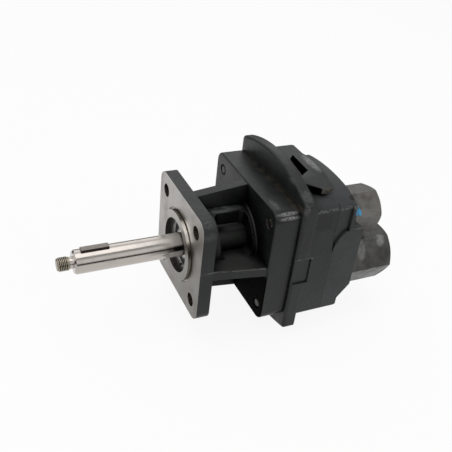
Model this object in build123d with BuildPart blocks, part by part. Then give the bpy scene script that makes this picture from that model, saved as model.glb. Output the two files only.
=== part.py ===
"""Hydraulic gear motor with a cast shaft bracket on its front.

Millimetres. The origin is the centre of the bracket's front mounting face, on the shaft's axis.
X runs along the shaft towards the ports, so the output shaft points to -X, and Z is up.
"""

import os
from math import acos, cos, pi, radians, sin, tan

from build123d import *

# Fits and running clearances
press_clearance = 0.01
seat_clearance = 0.03
running_clearance = 0.05
side_clearance = 0.1
thread_clearance = 0.02

# Shaft bracket, a casting with two square flanges, a barrel and four webs
front_flange_side = 106.0
front_flange_thickness = 12.7
front_flange_corner = 11.0
front_hole_spacing = 74.0
front_hole_radius = 6.5
pilot_radius = 33.5
pilot_height = 3.5
pilot_groove_width = 2.0
pilot_groove_depth = 0.8
barrel_radius = 38.0
barrel_bore_radius = 26.0
barrel_length = 49.5
barrel_flare = 2.0
web_thickness = 10.0
side_web_thickness = 9.0
side_web_drop = 1.5
web_inset_front = 0.5
web_inset_rear = 1.5
rear_flange_width = 125.0
rear_flange_height = 120.0
rear_flange_thickness = 24.3
rear_flange_corner = 10.0
bolt_mouth = 1.0
window_length = 32.0
window_half_gap = 12.0
window_corner = 6.0
window_rear_margin = 3.75

# Mounting plate, gear housing and rear cover, all of one width
body_right = 67.0
body_left = 61.0
plate_thickness = 12.5
plate_corner_height = 67.0
plate_arc_height = 85.0
plate_arc_centre = 5.0
plate_left_height = 73.2
plate_bottom = 71.5
plate_bottom_arc = 82.0
plate_corner = 4.0
plate_rounding = 3.0
plate_slope_length = 3.5
plate_slope_drop = 3.0
nose_length = 8.0
housing_length = 25.5
body_bottom = 57.0
body_shoulder = 56.7
body_crest = 68.1
body_crest_place = -12.0
body_haunch = 66.2
body_haunch_place = -42.0
body_knee_place = 24.0
body_knee_height = 64.0
body_step_run = 5.0
body_step_drop = 8.0
body_corner = 6.0
rim_length = 18.5
rim_bevel = 3.0
port_boss_length = 11.7
port_block_top = 33.0
port_block_bottom = 32.0
port_block_slope = 14.8
port_block_left = 12.0
port_block_curve = 12.0

# Deck, ridge and pockets on top of the gear housing
deck_drop = 9.5
deck_left = 30.0
deck_left_drop = 1.5
deck_left_run = 4.0
deck_right = -38.0
ridge_rise = 1.5
ridge_width = 9.0
ridge_flat = 5.5
ridge_left = 9.0
ridge_right = -30.0
ridge_run_out = 8.0
nose_bend = -34.0
nose_end = -51.0
nose_end_drop = 3.5
nose_depth = 4.8
nose_radius = 7.0
nose_reach_at_end = 12.5
nose_root = -41.0
nose_shoulder = 3.5
pocket_floor = 58.0
pocket_corners = [(14.5, 8.0), (7.5, 1.0), (3.2, -29.5), (13.5, -22.5)]
lower_pocket_length = 18.5
lower_pocket_right = -45.0
ridge_plug_radius = 2.0
ridge_plug_length = 8.0
ridge_plug_proud = 0.3

# Recessed patch on the right side of housing and cover
patch_depth = 2.5
patch_top = 58.0
patch_bottom = 12.0
patch_bend_run = 4.2
patch_bend_height = 23.8
patch_front_margin = 1.0
patch_rear_margin = 4.0
side_recess_depth = 1.5
side_recess_bottom = -18.0
side_recess_top = 9.5
side_recess_front_margin = 1.0
side_recess_in_housing = 4.5

# Drive shaft
shaft_radius = 11.1
shaft_reach = 98.0
shaft_chamfer = 1.5
thread_radius = 6.35
thread_length = 14.0
thread_neck_radius = 5.3
thread_neck_length = 3.0
shaft_key_width = 6.35
shaft_key_length = 25.0
shaft_key_from_end = 7.0
shaft_key_top = 13.2
bearing_seat_radius = 12.5
bearing_seat_start = 0.8
journal_radius = 10.0

# Ball bearing in the bracket's mouth
bearing_front = 5.0
bearing_width = 15.0
bearing_shoulder_radius = 23.0
bearing_shoulder_length = 4.0
outer_race_thickness = 3.8
inner_race_thickness = 4.2
ball_count = 9
ball_radius = 3.95
ball_circle_shift = 0.25
cage_thickness = 1.8
cage_width = 9.6
bearing_seal_thickness = 0.8
bearing_seal_inset = 0.4
bore_ring_thickness = 1.5
bore_ring_groove = 1.2
bore_ring_width = 3.2
bore_ring_ear_radius = 2.9
bore_ring_slit = 3.0
bore_ring_gap = 9.0
shaft_ring_thickness = 1.2
shaft_ring_groove = 0.75
shaft_ring_width = 2.4
shaft_ring_gap = 5.0

# Gears, their wear plates and bushings
gear_module = 3.0
gear_teeth = 12
gear_dedendum = 1.25
pressure_angle = radians(25.0)
tooth_backlash = 0.12
wear_plate_thickness = 3.0
tip_clearance = 0.1
gear_key_width = 5.0
gear_key_height = 5.0
gear_key_sink = 2.6
gear_key_margin = 1.5
bushing_thickness = 3.0
bushing_length = 11.0
seal_length = 7.0
seal_thickness = 5.95
seal_wall = 1.2
port_pocket_width = 16.0
port_pocket_reach = 28.0
gasket_width = 3.0
gasket_depth = 2.0
gasket_margin = 2.0
gasket_corner = 24.0
dowel_radius = 3.0
dowel_length = 38.0
dowel_places = [(37.0, -33.0), (-53.0, 33.0)]

# Four bolts from the rear cover into the bracket
bolt_radius = 4.75
bolt_hole_radius = 5.1
bolt_spacing_y = 99.0
bolt_spacing_z = 90.0
bolt_centre_y = -2.0
bolt_tip_inset = 0.2
bolt_tip_chamfer = 1.4
bolt_head_height = 10.0
bolt_flange_radius = 9.5
bolt_flange_height = 2.2
bolt_hex_across = 14.3
spot_face_radius = 15.5
spot_face_depth = 1.5
boss_relief_radius = 11.0

# Ports and their hexagon adapters, upper and lower
port_offset_y = -27.0
port_offset_z = 27.0
port_bore_depth = 15.0
passage_radius = 6.0
passage_offset_z = 22.0
passage_overrun = 1.5
port_ring_width = 2.2
port_ring_depth = 2.0
adapter_bevel = radians(30.0)
adapter_crown_share = 0.97
adapter_socket_depth = 19.0
adapter_stub_length = 14.0
adapters = {
    "upper": {"z": port_offset_z, "across": 42.0, "length": 34.3, "turn": 47.3, "stub": 13.3,
              "socket": 13.4, "bore": 8.5, "boss": 26.0},
    "lower": {"z": -port_offset_z, "across": 53.0, "length": 57.3, "turn": 0.9, "stub": 16.6,
              "socket": 16.7, "bore": 11.0, "boss": 29.0},
}

# Stations along the shaft that follow from the sizes above
barrel_front = front_flange_thickness
barrel_rear = barrel_front + barrel_length
plate_front = barrel_rear + rear_flange_thickness
housing_front = plate_front + plate_thickness
cover_front = housing_front + housing_length
rim_rear = cover_front + rim_length
port_face = rim_rear + port_boss_length
bearing_rear = bearing_front + bearing_width
bearing_middle = bearing_front + bearing_width / 2
nose_front = plate_front - nose_length
seal_floor = plate_front - (nose_length - seal_length) / 2
bushing_front = housing_front - bushing_length
shaft_end = cover_front + bushing_length
bolt_seat = rim_rear - spot_face_depth
bolt_tip = barrel_rear + bolt_tip_inset

# Radii and places that follow
pitch_radius = gear_module * gear_teeth / 2
tip_radius = pitch_radius + gear_module
root_radius = pitch_radius - gear_dedendum * gear_module
base_radius = pitch_radius * cos(pressure_angle)
idler_place = -2 * pitch_radius
mesh_place = -pitch_radius
cavity_radius = tip_radius + tip_clearance
gear_front = housing_front + wear_plate_thickness + 2 * side_clearance
gear_rear = cover_front - wear_plate_thickness - 2 * side_clearance
bushing_radius = journal_radius + bushing_thickness
ball_circle = (bearing_seat_radius + barrel_bore_radius) / 2 + ball_circle_shift
seal_bore_radius = bearing_seat_radius + seal_thickness
deck_height = plate_arc_height - deck_drop
nose_height = deck_height - nose_end_drop
nose_floor = nose_height - nose_depth
plug_place = cover_front - nose_radius
plug_height = nose_height - nose_depth / 2
body_left_top = body_knee_height - body_step_drop
bolt_places = [
    (bolt_centre_y + side * bolt_spacing_y / 2, level * bolt_spacing_z / 2)
    for side in (-1, 1)
    for level in (-1, 1)
]

os.makedirs("parts", exist_ok=True)


def station(x, y=0.0, z=0.0):
    """The plane across the shaft at x, with its own x along Y and its own y along Z."""
    return Plane(origin=(x, y, z), x_dir=(0, 1, 0), z_dir=(1, 0, 0))


def ring_section(x_from, x_to, inner, outer):
    """Half section of a plain ring about the shaft's axis."""
    with BuildSketch(Plane.XZ) as section:
        with BuildLine():
            Polyline((x_from, inner), (x_to, inner), (x_to, outer), (x_from, outer), close=True)
        make_face()
    return section.sketch


def body_outline(x):
    """Section shared by the gear housing and the rear cover, seen along the shaft."""
    with BuildSketch(station(x)) as outline:
        with BuildLine():
            Line((-body_right, body_shoulder), (-body_right, -body_bottom))
            Line((-body_right, -body_bottom), (body_left, -body_bottom))
            Line((body_left, -body_bottom), (body_left, body_left_top))
            Polyline(
                (body_left, body_left_top),
                (body_knee_place + body_step_run, body_left_top),
                (body_knee_place, body_knee_height),
            )
            crest = ThreePointArc(
                (body_knee_place, body_knee_height),
                (body_crest_place, body_crest),
                (body_haunch_place, body_haunch),
            )
            TangentArc(crest @ 1, (-body_right, body_shoulder), tangent=crest % 1)
        make_face()
        corners = outline.vertices().filter_by_position(Axis.X, body_left, body_left)
        fillet(corners, body_corner)
        fillet(outline.vertices().group_by(Axis.Y)[0].sort_by(Axis.X)[0], body_corner / 2)
    return outline.sketch


def plate_outline(x, drop=0.0):
    """Outline of the D-shaped plate, or its top arc lowered by drop."""
    with BuildSketch(station(x)) as outline:
        with BuildLine():
            Line((-body_right, plate_corner_height - drop), (-body_right, -plate_bottom))
            ThreePointArc(
                (-body_right, -plate_bottom),
                ((body_left - body_right) / 2, -plate_bottom_arc),
                (body_left, -plate_bottom),
            )
            Line((body_left, -plate_bottom), (body_left, plate_left_height - drop))
            ThreePointArc(
                (body_left, plate_left_height - drop),
                (plate_arc_centre, plate_arc_height - drop),
                (-body_right, plate_corner_height - drop),
            )
        make_face()
        fillet(outline.vertices(), plate_corner)
    return outline.sketch


def side_recess():
    """Outline of the shallow recess that plate and gear housing share on their right side."""
    with BuildSketch(Plane.XZ.offset(body_right)) as outline:
        with BuildLine():
            Polyline(
                (plate_front + side_recess_front_margin, side_recess_bottom),
                (housing_front + side_recess_in_housing, side_recess_bottom),
                (housing_front + side_recess_in_housing, side_recess_top),
                (plate_front + side_recess_front_margin, side_recess_top),
                close=True,
            )
        make_face()
    return outline.sketch


def gear_outline(x, y, turn):
    """Involute spur gear outline centred at y, its first tooth turned by turn radians from +Y."""
    half_pitch = pi / gear_teeth
    pitch_involute = tan(pressure_angle) - pressure_angle
    half_at_pitch = (pi * gear_module / 2 - tooth_backlash) / (2 * pitch_radius)
    half_at_base = half_at_pitch + pitch_involute

    def half_angle(radius):
        pressure = acos(base_radius / radius)
        return half_at_base - (tan(pressure) - pressure)

    def at(radius, angle):
        return (radius * cos(angle), radius * sin(angle))

    flank_radius = (base_radius + tip_radius) / 2
    with BuildSketch(station(x, y)) as outline:
        with BuildLine():
            for tooth in range(gear_teeth):
                middle = turn + 2 * half_pitch * tooth
                for side in (-1, 1):
                    foot = middle + side * half_at_base
                    tip = middle + side * half_angle(tip_radius)
                    Line(at(root_radius, foot), at(base_radius, foot))
                    ThreePointArc(
                        at(base_radius, foot),
                        at(flank_radius, middle + side * half_angle(flank_radius)),
                        at(tip_radius, tip),
                    )
                ThreePointArc(
                    at(tip_radius, middle - half_angle(tip_radius)),
                    at(tip_radius, middle),
                    at(tip_radius, middle + half_angle(tip_radius)),
                )
                ThreePointArc(
                    at(root_radius, middle + half_at_base),
                    at(root_radius, middle + half_pitch),
                    at(root_radius, middle + 2 * half_pitch - half_at_base),
                )
        make_face()
    return outline.sketch


def gear_chamber(x, radius):
    """The figure-of-eight that encloses both gears."""
    with BuildSketch(station(x)) as outline:
        with Locations((0, 0), (idler_place, 0)):
            Circle(radius)
    return outline.sketch


def gasket_track(x, width):
    """Rounded rectangular track of the gasket round the chamber and its port pockets."""
    reach_y = pitch_radius + cavity_radius + gasket_margin + gasket_width / 2
    reach_z = port_pocket_reach + gasket_margin + gasket_width / 2
    with BuildSketch(station(x, mesh_place)) as track:
        RectangleRounded(2 * reach_y + width, 2 * reach_z + width, gasket_corner + width / 2)
        RectangleRounded(
            2 * reach_y - width, 2 * reach_z - width, gasket_corner - width / 2, mode=Mode.SUBTRACT
        )
    return track.sketch


def bolt_circles(x, radius):
    """Circles at the four bolts."""
    with BuildSketch(station(x)) as circles:
        with Locations(*bolt_places):
            Circle(radius)
    return circles.sketch


def dowel_circles(x, radius):
    """Circles at the two dowel pins."""
    with BuildSketch(station(x)) as circles:
        with Locations(*dowel_places):
            Circle(radius)
    return circles.sketch


def journal_circles(x, radius):
    """Circles at the drive shaft and the idler shaft."""
    with BuildSketch(station(x)) as circles:
        with Locations((0, 0), (idler_place, 0)):
            Circle(radius)
    return circles.sketch


# Bracket: front flange with its pilot, flared barrel, four webs and rear flange
with BuildPart() as bracket:
    with BuildSketch(station(0)):
        RectangleRounded(front_flange_side, front_flange_side, front_flange_corner)
    extrude(amount=front_flange_thickness)
    with BuildSketch(station(0)):
        Circle(pilot_radius)
    extrude(amount=-pilot_height)
    with BuildSketch(Plane.XZ):
        with BuildLine():
            Polyline(
                (barrel_front, 0),
                (barrel_rear, 0),
                (barrel_rear, barrel_radius + barrel_flare),
            )
            RadiusArc(
                (barrel_rear, barrel_radius + barrel_flare),
                (barrel_rear - barrel_flare, barrel_radius),
                -barrel_flare,
            )
            Line(
                (barrel_rear - barrel_flare, barrel_radius),
                (barrel_front + barrel_flare, barrel_radius),
            )
            RadiusArc(
                (barrel_front + barrel_flare, barrel_radius),
                (barrel_front, barrel_radius + barrel_flare),
                -barrel_flare,
            )
            Line((barrel_front, barrel_radius + barrel_flare), (barrel_front, 0))
        make_face()
    revolve(axis=Axis.X)
    with BuildPart(mode=Mode.ADD):
        with BuildSketch(station(barrel_rear)):
            RectangleRounded(rear_flange_width, rear_flange_height, rear_flange_corner)
        rear_flange = extrude(amount=rear_flange_thickness)
        fillet(rear_flange.faces().sort_by(Axis.X)[0].edges(), web_inset_rear)
    web_front = front_flange_side / 2 - web_inset_front
    for level in (-1, 1):
        with BuildSketch(Plane.XZ):
            with BuildLine():
                Polyline(
                    (barrel_front, 0),
                    (barrel_front, level * web_front),
                    (barrel_rear, level * (rear_flange_height / 2 - web_inset_rear)),
                    (barrel_rear, 0),
                    close=True,
                )
            make_face()
        extrude(amount=web_thickness / 2, both=True)
    for side in (-1, 1):
        with BuildSketch(Plane.XY.offset(-side_web_drop)):
            with BuildLine():
                Polyline(
                    (barrel_front, 0),
                    (barrel_front, side * web_front),
                    (barrel_rear, side * (rear_flange_width / 2 - web_inset_rear)),
                    (barrel_rear, 0),
                    close=True,
                )
            make_face()
        extrude(amount=side_web_thickness / 2, both=True)
    # Bore, bearing shoulder and the ring groove in front of the bearing
    with BuildSketch(Plane.XZ):
        with BuildLine():
            Polyline(
                (-pilot_height, 0),
                (plate_front, 0),
                (plate_front, barrel_bore_radius),
                (bearing_rear + bearing_shoulder_length, barrel_bore_radius),
                (bearing_rear + bearing_shoulder_length, bearing_shoulder_radius),
                (bearing_rear, bearing_shoulder_radius),
                (bearing_rear, barrel_bore_radius),
                (bearing_front, barrel_bore_radius),
                (bearing_front, barrel_bore_radius + bore_ring_groove),
                (bearing_front - bore_ring_thickness - side_clearance,
                 barrel_bore_radius + bore_ring_groove),
                (bearing_front - bore_ring_thickness - side_clearance, barrel_bore_radius),
                (-pilot_height, barrel_bore_radius),
                close=True,
            )
        make_face()
    revolve(axis=Axis.X, mode=Mode.SUBTRACT)
    with BuildSketch(station(0)):
        Circle(pilot_radius + pilot_groove_width)
        Circle(pilot_radius, mode=Mode.SUBTRACT)
    extrude(amount=pilot_groove_depth, mode=Mode.SUBTRACT)
    with BuildSketch(station(0)):
        with GridLocations(front_hole_spacing, front_hole_spacing, 2, 2):
            Circle(front_hole_radius)
    extrude(amount=front_flange_thickness, mode=Mode.SUBTRACT)
    extrude(bolt_circles(barrel_rear, bolt_radius + thread_clearance),
            amount=rear_flange_thickness, mode=Mode.SUBTRACT)
    extrude(bolt_circles(barrel_rear, bolt_radius + bolt_mouth), amount=bolt_mouth, taper=45,
            mode=Mode.SUBTRACT)
    # Windows in the upper quadrants, flush with the side webs
    window_floor = side_web_thickness / 2 - side_web_drop
    window_middle = barrel_rear - window_rear_margin - window_length / 2
    for side in (-1, 1):
        with BuildPart(mode=Mode.SUBTRACT):
            with BuildSketch(Plane.XY.offset(window_floor)):
                with Locations((window_middle, side * (window_half_gap + barrel_radius / 2))):
                    RectangleRounded(window_length, barrel_radius, window_corner)
            extrude(amount=barrel_radius)
            with BuildSketch(Plane.XZ):
                with Locations((window_middle, window_floor + barrel_radius / 2)):
                    RectangleRounded(window_length, barrel_radius, window_corner)
            extrude(amount=window_half_gap + barrel_radius, both=True, mode=Mode.INTERSECT)
bracket.part.label = "bracket"
export_step(bracket.part, "parts/bracket.step")

# Outer race of the ball bearing
with BuildPart() as bearing_outer_race:
    outer_radius = barrel_bore_radius - press_clearance
    with BuildSketch(Plane.XZ):
        with BuildLine():
            Polyline(
                (bearing_front, outer_radius - outer_race_thickness),
                (bearing_rear, outer_radius - outer_race_thickness),
                (bearing_rear, outer_radius),
                (bearing_front, outer_radius),
                close=True,
            )
        make_face()
        with Locations((bearing_middle, ball_circle)):
            Circle(ball_radius + running_clearance, mode=Mode.SUBTRACT)
    revolve(axis=Axis.X)
bearing_outer_race.part.label = "bearing_outer_race"
export_step(bearing_outer_race.part, "parts/bearing_outer_race.step")

# Inner race, which turns with the shaft
with BuildPart() as bearing_inner_race:
    inner_radius = bearing_seat_radius + press_clearance
    with BuildSketch(Plane.XZ):
        with BuildLine():
            Polyline(
                (bearing_front, inner_radius),
                (bearing_rear, inner_radius),
                (bearing_rear, inner_radius + inner_race_thickness),
                (bearing_front, inner_radius + inner_race_thickness),
                close=True,
            )
        make_face()
        with Locations((bearing_middle, ball_circle)):
            Circle(ball_radius + running_clearance, mode=Mode.SUBTRACT)
    revolve(axis=Axis.X)
bearing_inner_race.part.label = "bearing_inner_race"
export_step(bearing_inner_race.part, "parts/bearing_inner_race.step")

# Balls
with BuildPart() as bearing_balls:
    with Locations(station(bearing_middle)):
        with PolarLocations(ball_circle, ball_count):
            Sphere(ball_radius)
bearing_balls.part.label = "bearing_balls"
export_step(bearing_balls.part, "parts/bearing_balls.step")

# Cage ring with one round pocket for each ball
with BuildPart() as bearing_cage:
    cage_inner = ball_circle - cage_thickness / 2
    cage_outer = ball_circle + cage_thickness / 2
    revolve(ring_section(bearing_middle - cage_width / 2, bearing_middle + cage_width / 2,
                         cage_inner, cage_outer), axis=Axis.X)
    for ball in range(ball_count):
        angle = 2 * pi * ball / ball_count
        pocket = Plane(origin=(bearing_middle, 0, 0), z_dir=(0, cos(angle), sin(angle)),
                       x_dir=(1, 0, 0))
        with BuildSketch(pocket):
            Circle(ball_radius + side_clearance)
        extrude(amount=barrel_bore_radius, mode=Mode.SUBTRACT)
bearing_cage.part.label = "bearing_cage"
export_step(bearing_cage.part, "parts/bearing_cage.step")

# Rubber seals on both sides of the bearing
with BuildPart() as bearing_seals:
    seal_inner = bearing_seat_radius + inner_race_thickness + side_clearance
    seal_outer = barrel_bore_radius - outer_race_thickness - seat_clearance
    for start in (bearing_front + bearing_seal_inset,
                  bearing_rear - bearing_seal_inset - bearing_seal_thickness):
        revolve(ring_section(start, start + bearing_seal_thickness, seal_inner, seal_outer),
                axis=Axis.X)
bearing_seals.part.label = "bearing_seals"
export_step(bearing_seals.part, "parts/bearing_seals.step")

# Retaining ring in the bore, open at the bottom
with BuildPart() as bearing_retaining_ring:
    ring_outer = barrel_bore_radius + bore_ring_groove - seat_clearance
    ring_back = bearing_front - side_clearance / 2
    with BuildSketch(station(ring_back)):
        Circle(ring_outer)
        with Locations((0, -ring_outer + bore_ring_width)):
            Circle(bore_ring_ear_radius)
        Circle(ring_outer - bore_ring_width, mode=Mode.SUBTRACT)
        with Locations((0, -ring_outer)):
            Rectangle(bore_ring_slit, 2 * ring_outer - bore_ring_gap, mode=Mode.SUBTRACT)
    extrude(amount=-bore_ring_thickness)
bearing_retaining_ring.part.label = "bearing_retaining_ring"
export_step(bearing_retaining_ring.part, "parts/bearing_retaining_ring.step")

# Snap rings on the shaft, one on each side of the inner race
with BuildPart() as shaft_snap_rings:
    ring_inner = bearing_seat_radius - shaft_ring_groove + seat_clearance
    for start in (bearing_front - side_clearance - shaft_ring_thickness,
                  bearing_rear + side_clearance):
        with BuildSketch(station(start)):
            Circle(ring_inner + shaft_ring_width)
            Circle(ring_inner, mode=Mode.SUBTRACT)
            with Locations((0, -ring_inner)):
                Rectangle(shaft_ring_gap, 2 * shaft_ring_width, mode=Mode.SUBTRACT)
        extrude(amount=shaft_ring_thickness)
shaft_snap_rings.part.label = "shaft_snap_rings"
export_step(shaft_snap_rings.part, "parts/shaft_snap_rings.step")

# Drive shaft, one piece from the threaded tip to the rear bushing
with BuildPart() as drive_shaft:
    shoulder = -shaft_reach
    tip = shoulder - thread_length
    seat_end = seal_floor - side_clearance
    with BuildSketch(Plane.XZ):
        with BuildLine():
            Polyline(
                (tip, 0),
                (tip, thread_radius - shaft_chamfer / 2),
                (tip + shaft_chamfer / 2, thread_radius),
                (shoulder - thread_neck_length, thread_radius),
                (shoulder - thread_neck_length, thread_neck_radius),
                (shoulder, thread_neck_radius),
                (shoulder, shaft_radius - shaft_chamfer),
                (shoulder + shaft_chamfer, shaft_radius),
                (bearing_seat_start, shaft_radius),
                (bearing_seat_start, bearing_seat_radius),
                (seat_end, bearing_seat_radius),
                (seat_end, journal_radius),
                (shaft_end - shaft_chamfer, journal_radius),
                (shaft_end, journal_radius - shaft_chamfer),
                (shaft_end, 0),
                close=True,
            )
        make_face()
    revolve(axis=Axis.X)
    groove_floor = bearing_seat_radius - shaft_ring_groove
    groove_width = shaft_ring_thickness + side_clearance
    for start in (bearing_front - side_clearance / 2 - groove_width,
                  bearing_rear + side_clearance / 2):
        revolve(ring_section(start, start + groove_width, groove_floor, barrel_bore_radius),
                axis=Axis.X, mode=Mode.SUBTRACT)
    key_middle = shoulder + shaft_key_from_end + shaft_key_length / 2
    with BuildSketch(Plane.XY.offset(shaft_key_top - shaft_key_width - seat_clearance)):
        with Locations((key_middle, 0)):
            Rectangle(shaft_key_length + 2 * seat_clearance, shaft_key_width + 2 * seat_clearance)
    extrude(amount=shaft_radius, mode=Mode.SUBTRACT)
    gear_key_floor = journal_radius - gear_key_sink
    gear_key_length = gear_rear - gear_front - 2 * gear_key_margin
    with BuildSketch(Plane.XY.offset(gear_key_floor - seat_clearance)):
        with Locations(((gear_front + gear_rear) / 2, 0)):
            Rectangle(gear_key_length + 2 * seat_clearance, gear_key_width + 2 * seat_clearance)
    extrude(amount=journal_radius, mode=Mode.SUBTRACT)
drive_shaft.part.label = "drive_shaft"
export_step(drive_shaft.part, "parts/drive_shaft.step")

# Square-ended key near the tip
with BuildPart() as shaft_key:
    with BuildSketch(Plane.XY.offset(shaft_key_top - shaft_key_width)):
        with Locations((key_middle, 0)):
            Rectangle(shaft_key_length, shaft_key_width)
    extrude(amount=shaft_key_width)
    chamfer(shaft_key.faces().sort_by(Axis.Z)[-1].edges(), shaft_chamfer / 4)
shaft_key.part.label = "shaft_key"
export_step(shaft_key.part, "parts/shaft_key.step")

# Key under the drive gear
with BuildPart() as gear_key:
    with BuildSketch(Plane.XY.offset(gear_key_floor)):
        with Locations(((gear_front + gear_rear) / 2, 0)):
            Rectangle(gear_key_length, gear_key_width)
    extrude(amount=gear_key_height)
gear_key.part.label = "gear_key"
export_step(gear_key.part, "parts/gear_key.step")

# Drive gear, keyed to the shaft
with BuildPart() as drive_gear:
    extrude(gear_outline(gear_front, 0, 0), amount=gear_rear - gear_front)
    with BuildSketch(station(gear_front)):
        Circle(journal_radius + seat_clearance)
        with Locations((0, (gear_key_floor + gear_key_height + seat_clearance) / 2)):
            Rectangle(gear_key_width + 2 * seat_clearance,
                      gear_key_floor + gear_key_height + seat_clearance)
    extrude(amount=gear_rear - gear_front, mode=Mode.SUBTRACT)
drive_gear.part.label = "drive_gear"
export_step(drive_gear.part, "parts/drive_gear.step")

# Idler gear, half a tooth out of step with the drive gear
with BuildPart() as idler_gear:
    extrude(gear_outline(gear_front, idler_place, pi / gear_teeth), amount=gear_rear - gear_front)
    with BuildSketch(station(gear_front, idler_place)):
        Circle(journal_radius + press_clearance)
    extrude(amount=gear_rear - gear_front, mode=Mode.SUBTRACT)
idler_gear.part.label = "idler_gear"
export_step(idler_gear.part, "parts/idler_gear.step")

# Idler shaft, pressed into its gear
with BuildPart() as idler_shaft:
    idler_front = bushing_front + side_clearance
    with BuildSketch(station(idler_front, idler_place)):
        Circle(journal_radius)
    extrude(amount=shaft_end - idler_front)
    chamfer(idler_shaft.faces().filter_by(Axis.X).edges(), shaft_chamfer / 2)
idler_shaft.part.label = "idler_shaft"
export_step(idler_shaft.part, "parts/idler_shaft.step")

# Bushings, two in the plate and two in the rear cover
bushing_stations = {"front": bushing_front, "rear": cover_front}
for shaft_name, place in {"drive": 0.0, "idler": idler_place}.items():
    for end_name, start in bushing_stations.items():
        with BuildPart() as bushing:
            with BuildSketch(station(start, place)):
                Circle(bushing_radius - press_clearance)
                Circle(journal_radius + running_clearance, mode=Mode.SUBTRACT)
            extrude(amount=bushing_length)
        bushing.part.label = f"{shaft_name}_{end_name}_bushing"
        export_step(bushing.part, f"parts/{bushing.part.label}.step")

# Wear plates on both faces of the gears
wear_plate_stations = {
    "front": housing_front + side_clearance,
    "rear": gear_rear + side_clearance,
}
for end_name, start in wear_plate_stations.items():
    with BuildPart() as wear_plate:
        extrude(gear_chamber(start, cavity_radius - running_clearance),
                amount=wear_plate_thickness)
        extrude(journal_circles(start, journal_radius + 2 * side_clearance),
                amount=wear_plate_thickness, mode=Mode.SUBTRACT)
    wear_plate.part.label = f"{end_name}_wear_plate"
    export_step(wear_plate.part, f"parts/{wear_plate.part.label}.step")

# Gaskets sunk in the front and rear faces of the gear housing
gasket_stations = {"front": housing_front, "rear": cover_front - gasket_depth + side_clearance}
for end_name, start in gasket_stations.items():
    with BuildPart() as gasket:
        extrude(gasket_track(start, gasket_width - 2 * seat_clearance),
                amount=gasket_depth - side_clearance)
    gasket.part.label = f"{end_name}_gasket"
    export_step(gasket.part, f"parts/{gasket.part.label}.step")

# D-shaped mounting plate with a nose that centres it in the bracket
with BuildPart() as mounting_plate:
    slope_front = housing_front - plate_slope_length
    extrude(plate_outline(plate_front), amount=slope_front - plate_front)
    fillet(mounting_plate.faces().sort_by(Axis.X)[0].edges(), plate_rounding)
    loft([plate_outline(slope_front), plate_outline(housing_front, plate_slope_drop)], ruled=True)
    with BuildSketch(station(nose_front)):
        Circle(barrel_bore_radius - seat_clearance)
    extrude(amount=nose_length)
    with BuildSketch(station(nose_front)):
        Circle(seal_bore_radius + press_clearance)
    extrude(amount=seal_floor - nose_front, mode=Mode.SUBTRACT)
    with BuildSketch(station(nose_front)):
        Circle(journal_radius + 2 * side_clearance)
    extrude(amount=nose_length + plate_thickness, mode=Mode.SUBTRACT)
    extrude(journal_circles(bushing_front, bushing_radius), amount=bushing_length,
            mode=Mode.SUBTRACT)
    extrude(bolt_circles(plate_front, bolt_hole_radius), amount=plate_thickness,
            mode=Mode.SUBTRACT)
    extrude(dowel_circles(housing_front, dowel_radius + seat_clearance),
            amount=-(dowel_length - housing_length) / 2 - seat_clearance, mode=Mode.SUBTRACT)
    extrude(side_recess(), amount=-side_recess_depth, mode=Mode.SUBTRACT)
mounting_plate.part.label = "mounting_plate"
export_step(mounting_plate.part, "parts/mounting_plate.step")

# Lip seal in the plate's nose
with BuildPart() as shaft_seal:
    seal_outer = seal_bore_radius
    seal_front = seal_floor - seal_length
    lip_radius = bearing_seat_radius + running_clearance
    with BuildSketch(Plane.XZ):
        with BuildLine():
            Polyline(
                (seal_front, seal_outer - seal_wall),
                (seal_floor - seal_wall, seal_outer - seal_wall),
                (seal_floor - seal_wall, lip_radius + seal_wall),
                (seal_front + seal_wall, lip_radius + seal_wall),
                (seal_front + seal_wall, lip_radius),
                (seal_floor - side_clearance, lip_radius),
                (seal_floor - side_clearance, seal_outer),
                (seal_front, seal_outer),
                close=True,
            )
        make_face()
    revolve(axis=Axis.X)
shaft_seal.part.label = "shaft_seal"
export_step(shaft_seal.part, "parts/shaft_seal.step")

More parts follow.
